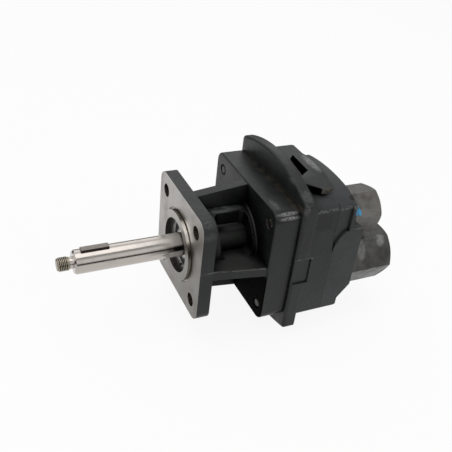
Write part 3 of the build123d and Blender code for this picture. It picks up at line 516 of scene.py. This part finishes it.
def bracket_recipe(start):
    """Cast paint all over, and bare iron on the front face, the pilot, its groove and the bore."""
    place = object_place(start)
    x, y, z = axes(place)
    machined = either(x < face_skin, (from_shaft(y, z) < groove_rim) * (x < groove_end))
    paint = bracket_coat(start, place, x, y, z)
    colour, roughness, normal = bracket_iron(start, place, x, y, z)
    paint["Base Color"] = tinted(machined, paint["Base Color"], colour)
    paint["Roughness"] = paint["Roughness"] * (1 - machined) + roughness * machined
    paint["Metallic"] = paint["Metallic"] * (1 - machined) + machined
    paint["Normal"] = start.node("Mix", {"data_type": "VECTOR"}, {
        0: machined, 4: paint["Normal"], 5: normal}, output=1)
    return paint


dress(["bracket"], finish("bracket_paint", bracket_recipe))


# Ball bearing in the bracket's mouth: hardened rings and balls, a pressed cage and rubber seals.
# A retaining ring in the bore and two snap rings on the shaft hold it.
def polished_steel(start, tone, roughness):
    """Hardened steel with a faint blue cast and polishing marks round the shaft."""
    place = object_place(start)
    marks = noise(stretched(place, 5200, 160, 160), 1.0, 3, 0.6)
    blotches = noise(place, 120, 3)
    colour = tinted(ease(blotches, 0.3, 0.75), tone, tuple(0.78 * part for part in tone))
    normal = start.node("Bump", sockets={
        "Strength": 0.2, "Distance": 0.00005, "Height": marks, "Normal": softened(start, 0.0003)})
    return {"Base Color": colour, "Metallic": 1.0, "Roughness": roughness + marks * 0.08,
            "Normal": normal}


def seal_rubber(start):
    """Black nitrile rubber, matt, with moulding flecks and a trace of grease."""
    place = object_place(start)
    flecks = noise(place, 1500, 3)
    grease = ease(noise(place, 90, 3), 0.45, 0.7)
    return {"Base Color": tinted(grease, (0.012, 0.012, 0.013), (0.024, 0.021, 0.017)),
            "Roughness": 0.62 - grease * 0.25,
            "Normal": start.node("Bump", sockets={
                "Strength": 0.3, "Distance": 0.0001, "Height": flecks})}


race_steel = finish("bearing_steel", polished_steel, (0.60, 0.60, 0.61), 0.14)
dress(["bearing_outer_race", "bearing_inner_race", "bearing_balls"], race_steel)
dress(["bearing_cage"], finish("cage_steel", polished_steel, (0.48, 0.46, 0.43), 0.30))
rubber = finish("black_rubber", seal_rubber)
dress(["bearing_seals", "shaft_seal", "front_gasket", "rear_gasket", "upper_port_ring",
       "lower_port_ring"], rubber)
dress(["bearing_retaining_ring", "shaft_snap_rings"],
      finish("spring_steel", polished_steel, (0.42, 0.41, 0.40), 0.22))


# Drive shaft: one ground bar from the threaded tip to its rear bushing, with the key near the tip.
# The thread's helix is cut into the tip, so this surface stands for the CAD shaft.
def piece(name, points, faces, material, body):
    """A new mesh from an array of points and an array of quadrilaterals, riding on a body."""
    mesh = bpy.data.meshes.new(name)
    mesh.from_pydata(points.tolist(), [], faces.tolist())
    mesh.materials.append(material)
    mesh.polygons.foreach_set("use_smooth", np.ones(len(faces), bool))
    mesh.update()
    made = bpy.data.objects.new(name, mesh)
    bpy.context.scene.collection.objects.link(made)
    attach(made, body)
    return made


def rings_to_faces(rings, around):
    """Quadrilaterals between neighbouring rings of points, closed round each ring."""
    ring, step = np.meshgrid(np.arange(rings - 1), np.arange(around), indexing="ij")
    here = ring * around + step
    beside = ring * around + (step + 1) % around
    return np.stack([here, beside, beside + around, here + around], -1).reshape(-1, 4)


def helical_ridge(first, last, pitch, foot, crest, around):
    """A thread's ridge: at turn t and share s of the pitch, X = first + pitch (t + s), the radius
    goes from foot to crest and back as s goes from 0 to 1, and the angle is 2 pi t. Each flank
    takes 0.28 of the pitch, and the first and last half turns rise from the foot."""
    turns = np.arange(0, (last - first) / pitch - 1, 1 / around)
    fade = np.clip(np.minimum(turns, turns[-1] - turns) * 2, 0, 1)[:, None]
    x = first + pitch * (turns[:, None] + np.array([0.0, 0.28, 0.72, 1.0]))
    radius = foot + (crest - foot) * np.array([0, 1, 1, 0]) * fade
    angle = 2 * pi * turns[:, None]
    points = np.stack([x, radius * np.cos(angle), radius * np.sin(angle)], -1).reshape(-1, 3)
    end = len(points)
    caps = np.array([[3, 2, 1, 0], [end - 4, end - 3, end - 2, end - 1]])
    return points, np.concatenate([rings_to_faces(len(turns), 4), caps])


def lathe(profile, around):
    """Points of a turned surface: each row (x, r) of the profile is a ring of radius r about X."""
    angle = np.linspace(0, 2 * pi, around, endpoint=False)
    x, radius = (np.repeat(column[:, None], around, axis=1) for column in profile.T)
    return np.stack([x, radius * np.cos(angle), radius * np.sin(angle)], -1).reshape(-1, 3)


shaft_low, shaft_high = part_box("drive_shaft")
shaft_around = 96
thread_pitch = 0.0015
thread_radius = 0.00635
thread_core = 0.0055
thread_neck = 0.0053
thread_sink = 0.00003
tip_place = shaft_low.x
tip_chamfer = 0.0004
shoulder_place = -0.098
neck_place = shoulder_place - 0.003
shaft_radius = 0.0111
seat_radius = 0.0125
journal_radius = 0.0100
shoulder_chamfer = 0.0015
seat_start = 0.0032
seat_end = 0.0859
on_axis = 1e-5
turned_profile = np.array([
    (tip_place, on_axis), (tip_place, thread_core - tip_chamfer), (tip_place + tip_chamfer, thread_core),
    (neck_place, thread_core), (neck_place, thread_neck), (shoulder_place, thread_neck),
    (shoulder_place, shaft_radius - shoulder_chamfer), (shoulder_place + shoulder_chamfer, shaft_radius),
    (seat_start, shaft_radius), (seat_start, seat_radius), (seat_end, seat_radius),
    (seat_end, journal_radius), (shaft_high.x - shoulder_chamfer, journal_radius),
    (shaft_high.x, journal_radius - shoulder_chamfer), (shaft_high.x, on_axis),
])
bar_points = lathe(turned_profile, shaft_around)
bar_faces = rings_to_faces(len(turned_profile), shaft_around)
ridge_points, ridge_faces = helical_ridge(tip_place, neck_place, thread_pitch,
                                          thread_core - thread_sink, thread_radius, shaft_around)
shaft_points = np.concatenate([bar_points, ridge_points])
shaft_faces = np.concatenate([bar_faces, ridge_faces + len(bar_points)])[:, ::-1]


def ground_steel(start):
    """Ground bar: fine marks round it, handling stains, a painted dark reflection and a dull stretch
    before the bore, darker where the bracket hides it, with a painted highlight along it there."""
    place = object_place(start)
    marks = noise(stretched(place, 6500, 130, 130), 1.0, 4, 0.65)
    stains = ease(noise(place, 70, 4, 0.6), 0.48, 0.75)
    x = axes(place)[0]
    level = facing(start, "Z")
    threads = x < neck_place
    # Painted reflection: a dark band on the shaft's side before the bore.
    reflected_dark_band = ease(x, -0.040, -0.010) * between(level, 0.05, 0.50, 0.10)
    dull = ease(x, -0.0260, -0.0060) * (1 - ease(x, -0.0010, 0.0020)) * (1 - reflected_dark_band)
    # Darker where the bracket hides the shaft.
    dark_in_bracket = ease(x, 0.012, 0.021)
    # Painted highlight along the shaft's upper side in the bracket's window.
    lit = ease(level, 0.80, 0.97) * ease(x, 0.040, 0.048)
    colour = tinted(stains * 0.35, (0.47, 0.435, 0.405), (0.36, 0.32, 0.29))
    colour = tinted(threads, colour, (0.30, 0.27, 0.215))
    colour = tinted(reflected_dark_band * 0.8, colour, (0.07, 0.06, 0.055))
    colour = tinted(dark_in_bracket, colour, tinted(lit, (0.030, 0.033, 0.030), (0.13, 0.14, 0.13)))
    normal = start.node("Bump", sockets={"Strength": 0.1, "Distance": 0.00003, "Height": marks})
    return {"Base Color": colour, "Metallic": 1 - either(dark_in_bracket, dull) * 0.8, "Specular IOR Level": 0.3,
            "Roughness": 0.13 + marks * 0.06 + stains * 0.06 + threads * 0.15 + dark_in_bracket * 0.3,
            "Normal": normal}


shaft_finish = finish("ground_steel", ground_steel)
drive_shaft = piece("turned_drive_shaft", shaft_points, shaft_faces,
                    shaft_finish, "drive_shaft")
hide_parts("drive_shaft")
smooth(drive_shaft)
dress(["idler_shaft", "dowel_pins"], shaft_finish)

key_side = 0.0030


def key_recipe(start):
    """Cold-drawn key bar, drawn lengthwise, darker than the shaft and black at its sides."""
    place = object_place(start)
    marks = noise(stretched(place, 150, 4000, 4000), 1.0, 3, 0.6)
    colour = tinted(ease(marks, 0.3, 0.7), (0.17, 0.155, 0.14), (0.25, 0.23, 0.21))
    colour = tinted(abs(axes(place)[1]) > key_side, colour, (0.030, 0.022, 0.019))
    return {"Base Color": colour, "Metallic": 1.0, "Roughness": 0.34 + marks * 0.12,
            "Normal": start.node("Bump", sockets={
                "Strength": 0.2, "Distance": 0.00005, "Height": marks,
                "Normal": softened(start, 0.0003)})}


dress(["shaft_key", "gear_key"], finish("key_steel", key_recipe))


# Mounting plate, gear housing and rear cover: three more castings, painted after assembly.
# Brown dust lies along the plate's foot and the nose's end is rubbed bare; the ridge's crest has a painted
# highlight.
plate_tone = 0.0130
housing_tone = 0.0155
cover_tone = 0.0230
# Grey of painted light, on shaded recess walls and ledges.
painted_light_grey = (0.060, 0.063, 0.060)
chipped_grey = (0.13, 0.135, 0.125)
plate_rubs = [
    ((0.0880, -0.0370, 0.0765), (0.0040, 0.0060, 0.0030), 0.25),
    ((0.0930, -0.0560, 0.0700), (0.0070, 0.0110, 0.0060), 0.30),
    ((0.0890, -0.0660, 0.0630), (0.0040, 0.0030, 0.0070), 0.25),
]
foot_heights = (0.0605, 0.0650)
foot_low = 0.0590
foot_back = 0.0870
recess_front = 0.0870
recess_back = 0.1050
recess_floor = -0.0656
recess_rim = -0.0669
recess_heights = (-0.0184, 0.0098)
ledge_heights = (0.0083, 0.0108)
ledge_side = -0.0640
roof_side = -0.0630
chip_heights = (0.0560, 0.0585)
dark_patch_heights = (0.0370, 0.0545)
dark_patch_reach = (0.1035, 0.1195)
shade_heights = (0.0330, 0.0550)
cover_front = 0.1256


def recess_edges(place, x, y, z):
    """Painted light on the shaded low walls of the recesses on the right side, and a broken painted
    highlight along the ledge over the small one.
    """
    beside = (x > recess_front) * (x < recess_back)
    # Painted light: the walls are lighter, against their shade.
    walls = (y < recess_floor) * (y > recess_rim) * (z < recess_heights[1]) * (z > recess_heights[0])
    # Painted highlight, broken by noise, along the ledge.
    ledge = (y < ledge_side) * between(z, *ledge_heights, 0.0005) * ease(noise(place, 400, 3), 0.4, 0.6)
    return either(walls * 0.35, ledge * 1.5) * beside


def roof_finish(start, paint):
    """Chipped edge along the roof's right side, a dark patch under it, painted shade behind that, and the
    roof painted paler.
    """
    place = object_place(start)
    x, y, z = axes(place)
    side = y < roof_side
    patchy = ease(noise(place, 420, 4, 0.7), 0.45, 0.58)
    chipped = side * between(z, *chip_heights, 0.0005) * ease(x, 0.1005, 0.1030) * patchy
    # A dark patch on the side, under the chipped edge.
    dark_patch = side * between(z, *dark_patch_heights, 0.0035) * between(x, *dark_patch_reach, 0.0020)
    # Painted shade further back on the side, under the roof's edge.
    shaded = side * between(z, *shade_heights, 0.0030) * ease(x, 0.1190, 0.1230)
    # Painted light: a paler patch on the roof.
    pale = near(place, (0.1260, -0.0560, 0.0620), (0.0260, 0.0150, 0.0080))
    colour = tinted(either(dark_patch * 0.65, shaded * 0.30), paint["Base Color"], shade_and_joint_black)
    colour = tinted(pale * 0.5, colour, dust_and_light_grey)
    return tinted(chipped * 0.8, colour, chipped_grey)


def plate_recipe(start):
    """Cast paint with a brown line where the plate meets the bracket's flange."""
    place = object_place(start)
    x, y, z = axes(place)
    foot = (1 - ease(z, *foot_heights)) * (z > foot_low) * (x < foot_back)
    film = ease(noise(place, 90, 4, 0.7), 0.35, 0.65)
    paint = cast_paint(start, plate_tone, plate_rubs)
    colour = tinted(foot * film * 0.8, paint["Base Color"], dust_brown)
    paint["Base Color"] = tinted(recess_edges(place, x, y, z), colour, painted_light_grey)
    return paint


def housing_recipe(start):
    """Cast paint, a painted highlight along the ridge's crest, painted shadow under the nose and brown at
    its end.
    """
    place = object_place(start)
    x, y, z = axes(place)
    patchy = ease(noise(place, 300, 4, 0.7), 0.25, 0.6)
    # Painted highlight along the ridge's crest.
    crest = near(place, (0.1208, -0.0125, 0.0770), (0.0050, 0.0220, 0.0016)) * patchy
    nose_tip = (y < -0.0504) * (z > 0.0650) * (x > 0.1060) * patchy
    # Painted shadow under the nose, black and metallic.
    nose_shadow = (y < -0.0395) * between(z, 0.0600, 0.0722, 0.0006) * (x < 0.1112)
    nose_shadow = nose_shadow * (facing(start, "X") < -0.3)
    paint = cast_paint(start, housing_tone)
    colour = roof_finish(start, paint)
    colour = tinted(recess_edges(place, x, y, z), colour, painted_light_grey)
    colour = tinted(crest * 0.9, colour, (0.17, 0.17, 0.17))
    colour = tinted(nose_shadow, colour, shade_and_joint_black)
    paint["Base Color"] = tinted(nose_tip * 0.8, colour, (0.075, 0.064, 0.050))
    paint["Metallic"] = either(paint["Metallic"], nose_shadow)
    return paint


inspection_blue = (0.030, 0.180, 0.330)


def dabbed(place, colour, centre, reach):
    """A colour with the inspector's dab of thick blue paint on it, ragged at its edge."""
    dab = near(place, centre, reach) + noise(place, 700, 3) * 0.3
    return tinted(ease(dab, 0.45, 0.6), colour, inspection_blue)


def cover_recipe(start):
    """Cast paint, with recess walls painted lighter against their shade, a blue dab, a dark joint and a
    dark brown painted shadow by a bolt.
    """
    place = object_place(start)
    x, y = axes(place)[:2]
    # Painted light on the recess walls, against their shade.
    walls = (y < -0.0648) * (y > -0.0668)
    joint = (x < cover_front) * (y < -0.0600)
    # Painted shadow by a bolt, in dark brown.
    stain_and_shade = near(place, (0.1412, -0.0565, 0.0620), (0.0032, 0.0038, 0.0036))
    paint = cast_paint(start, cover_tone)
    colour = tinted(walls, roof_finish(start, paint), painted_light_grey)
    colour = dabbed(place, colour, (0.1432, -0.0670, 0.0530), (0.0024, 0.0040, 0.0058))
    colour = tinted(joint * 0.85, colour, shade_and_joint_black)
    paint["Base Color"] = tinted(ease(stain_and_shade, 0.2, 0.4), colour, (0.012, 0.008, 0.006))
    return paint


dress(["mounting_plate"], finish("plate_paint", plate_recipe))
dress(["gear_housing"], finish("housing_paint", housing_recipe))
dress(["rear_cover"], finish("cover_paint", cover_recipe))


# Ridge plug: a plain turned steel plug in the near end of the housing's nose.
# It has no new paint on it, and is brown with heat and old paint.
def plug_recipe(start):
    """Dark brown steel with turned marks."""
    place = object_place(start)
    patches = ease(noise(place, 160, 4), 0.35, 0.7)
    return {"Base Color": tinted(patches, (0.10, 0.085, 0.07), (0.035, 0.03, 0.028)),
            "Metallic": 0.7, "Roughness": 0.38 + patches * 0.15,
            "Normal": start.node("Bump", sockets={
                "Strength": 0.4, "Distance": 0.0002, "Height": noise(place, 900, 3),
                "Normal": softened(start, 0.0004)})}


dress(["ridge_plug"], finish("plug_steel", plug_recipe))


# Gears and what they run in: hardened gears, and turned bronze bushings and wear plates.
# All of them are out of sight inside the housing.
def bronze_recipe(start):
    """Bearing bronze with turning marks and a brown tarnish."""
    place = object_place(start)
    tarnish = ease(noise(place, 110, 4), 0.4, 0.7)
    marks = noise(stretched(place, 3000, 200, 200), 1.0, 3)
    return {"Base Color": tinted(tarnish, (0.62, 0.38, 0.16), (0.38, 0.22, 0.10)),
            "Metallic": 1.0, "Roughness": 0.25 + tarnish * 0.2,
            "Normal": start.node("Bump", sockets={
                "Strength": 0.2, "Distance": 0.00005, "Height": marks})}


dress(["drive_gear", "idler_gear"], finish("gear_steel", polished_steel, (0.46, 0.46, 0.47), 0.24))
dress(["drive_front_bushing", "drive_rear_bushing", "idler_front_bushing", "idler_rear_bushing",
       "front_wear_plate", "rear_wear_plate"], finish("bronze", bronze_recipe))


# Body bolts: flanged hexagon bolts that clamp cover, housing and plate to the bracket.
# They are painted over at their heads, and their bare tips show in front.
head_start = 0.14


def bolt_recipe(start):
    """Brown-grey steel at the tips, black paint on the heads, a blue inspection mark on one."""
    place = object_place(start)
    head = axes(place)[0] > head_start
    steel = tinted(ease(noise(place, 300, 3), 0.4, 0.7), (0.044, 0.038, 0.030), (0.012, 0.010, 0.009))
    colour = tinted(head, steel, (0.020, 0.021, 0.021))
    colour = dabbed(place, colour, (0.1490, -0.0585, 0.0475), (0.0060, 0.0070, 0.0075))
    return {"Base Color": colour, "Metallic": (1 - head) * 0.7, "Roughness": 0.40 + head * 0.04,
            "Normal": start.node("Bump", sockets={
                "Strength": 0.3, "Distance": 0.0001, "Height": noise(place, 900, 3),
                "Normal": softened(start, 0.0004)})}


dress(["body_bolts"], finish("bolt_steel", bolt_recipe))


# Port adapters: bare hexagon steel, left brown-grey by handling, with a pipe thread in each mouth.
# The threads' helices stand on the plain bores of the CAD adapters.
lower_hexagon_top = 0.003
upper_hexagon_low = 0.03


def bare_hexagon(start):
    """Hot-rolled hexagon bar: dull, streaked along its length and stained, darker on the lower adapter,
    with painted highlights on two facets and on the upper one's upward faces.
    """
    place = object_place(start)
    z = axes(place)[2]
    streaks = noise(stretched(place, 60, 700, 700), 1.0, 4, 0.6)
    stains = ease(noise(place, 70, 5, 0.65), 0.38, 0.66)
    film = ease(noise(place, 200, 4, 0.65), 0.30, 0.65)
    lower = (z < lower_hexagon_top) * 0.75
    # Painted highlights: lighter patches on two facets.
    facet_glints = either(near(place, (0.2000, -0.0440, -0.0040), (0.0060, 0.0070, 0.0090)) * 0.55,
                     near(place, (0.1760, -0.0470, -0.0090), (0.0060, 0.0120, 0.0150)) * 0.35)
    # Painted light on the upper adapter's upward faces.
    top = ease(facing(start, "Z"), 0.90, 0.97) * (z > upper_hexagon_low) * 0.35
    bright = edge_share(start, worn_edge) * ease(noise(place, 500, 3), 0.4, 0.6)
    colour = tinted(streaks, (0.070, 0.067, 0.061), (0.112, 0.107, 0.098))
    colour = tinted(stains * 0.7, colour, (0.050, 0.045, 0.039))
    colour = tinted(lower, colour, tinted(stains, (0.048, 0.048, 0.047), (0.026, 0.026, 0.026)))
    colour = tinted(either(facet_glints, top) * (0.4 + film * 0.6), colour, (0.27, 0.27, 0.265))
    colour = tinted(bright * 0.6, colour, (0.30, 0.29, 0.27))
    colour = dabbed(place, colour, (0.1628, -0.0464, 0.0367), (0.0026, 0.0045, 0.0050))
    return {"Base Color": colour, "Metallic": 0.65, "Roughness": 0.32 + stains * 0.16,
            "Normal": start.node("Bump", sockets={
                "Strength": 0.35, "Distance": 0.0001, "Height": streaks + noise(place, 1300, 2) * 0.5,
                "Normal": softened(start, 0.0010)})}


hexagon_finish = finish("bare_steel", bare_hexagon)
dress(["upper_port_adapter", "lower_port_adapter"], hexagon_finish)

port_around = 72
port_pitch = 0.0018
port_thread_height = 0.00115
port_thread_length = 0.017
port_thread_sink = 0.00005
mouth_margin = 0.0008
port_centre_y = -0.027
for port_name, socket_radius in {"upper": 0.0134, "lower": 0.0167}.items():
    low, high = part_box(port_name + "_port_adapter")
    mouth = high.x - mouth_margin
    thread_points, thread_faces = helical_ridge(
        mouth - port_thread_length, mouth, port_pitch, socket_radius + port_thread_sink,
        socket_radius - port_thread_height, port_around)
    thread_points += np.array([0, port_centre_y, (low.z + high.z) / 2])
    thread = piece(port_name + "_port_thread", thread_points, thread_faces, hexagon_finish,
                   "housing")
    smooth(thread)
